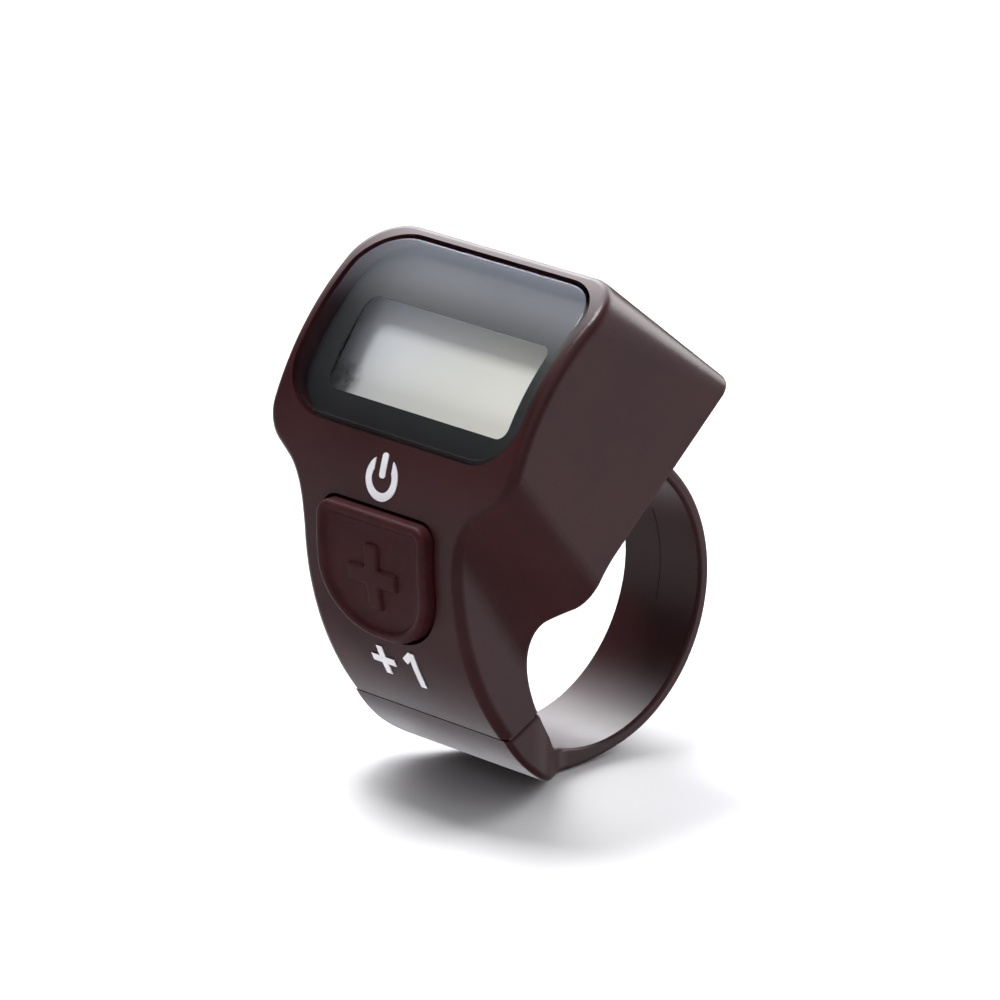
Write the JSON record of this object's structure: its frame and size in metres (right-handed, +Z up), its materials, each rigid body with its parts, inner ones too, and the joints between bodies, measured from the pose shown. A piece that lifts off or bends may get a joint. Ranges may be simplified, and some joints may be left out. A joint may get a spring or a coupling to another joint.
{
  "type": "finger tally counter",
  "caption": "Electronic tally counter worn as a finger ring: tilted display head on a ring housing, sprung press button on the front, screwed case with boards and cell inside.",
  "frame": {"origin": "centre of the finger hole", "axes": "+X along the finger hole's axis, to the wearer's side of the counter; +Z up; the button and the front strip face -Y"},
  "size_m": [0.026, 0.0282, 0.0362],
  "materials": {
    "housing_plastic": "polished dark maroon moulding",
    "button_rubber": "satin dark red silicone rubber",
    "clear_window": "clear polished acrylic window",
    "mask_ink": "dark grey back-printed film",
    "adhesive_film": "black double-sided adhesive",
    "polarizer_film": "pale greenish grey film",
    "display_glass": "thin clear glass",
    "reflector_film": "satin silvered film",
    "inner_moulding": "moulded black plastic",
    "contact_rubber": "grey striped elastomer",
    "circuit_board": "green solder mask over fibreglass",
    "black_resin": "cured black epoxy",
    "plated_steel": "bright nickel plating",
    "ceramic": "fired tan ceramic with tinned ends",
    "cell_can": "nickel-plated can",
    "flex_film": "amber polyimide film",
    "switch_plastic": "moulded black nylon",
    "screw_steel": "zinc-plated steel",
    "white_ink": "printed white ink"
  },
  "bodies": {
    "housing": {"front_housing": "housing_plastic", "ring_housing": "housing_plastic", "lens": "clear_window", "display_mask": "mask_ink", "window_adhesive": "adhesive_film", "lcd_polarizer": "polarizer_film", "lcd_front_glass": "display_glass", "lcd_rear_glass": "display_glass", "lcd_reflector": "reflector_film", "lcd_frame": "inner_moulding", "contact_strip": "contact_rubber", "main_board": "circuit_board", "chip_blob": "black_resin", "clock_crystal": "plated_steel", "capacitors": "ceramic", "coin_cell": "cell_can", "cell_tray": "inner_moulding", "cell_contact_minus": "plated_steel", "cell_contact_plus": "plated_steel", "flex_strip": "flex_film", "switch_board": "circuit_board", "switch_base": "switch_plastic", "switch_cover": "plated_steel", "switch_terminals": "plated_steel", "switch_dome": "plated_steel", "board_screws": "screw_steel", "case_screws": "screw_steel", "power_mark": "white_ink", "plus_one_mark": "white_ink"},
    "button": {"button_cap": "button_rubber"},
    "plunger": {"switch_plunger": "switch_plastic"}
  },
  "joints": [
    {"name": "button_press", "type": "slide", "parent": "housing", "child": "button", "axis": [0, 1, 0], "range_m": [0, 0.0003], "stiffness_N_per_m": 400},
    {"name": "plunger_press", "type": "slide", "parent": "housing", "child": "plunger", "axis": [0, 1, 0], "range_m": [0, 0.0003], "deforming": ["switch_dome"]}
  ],
  "couplings": [
    {"joint": "plunger_press", "follows": "button_press", "ratio": 1}
  ]
}
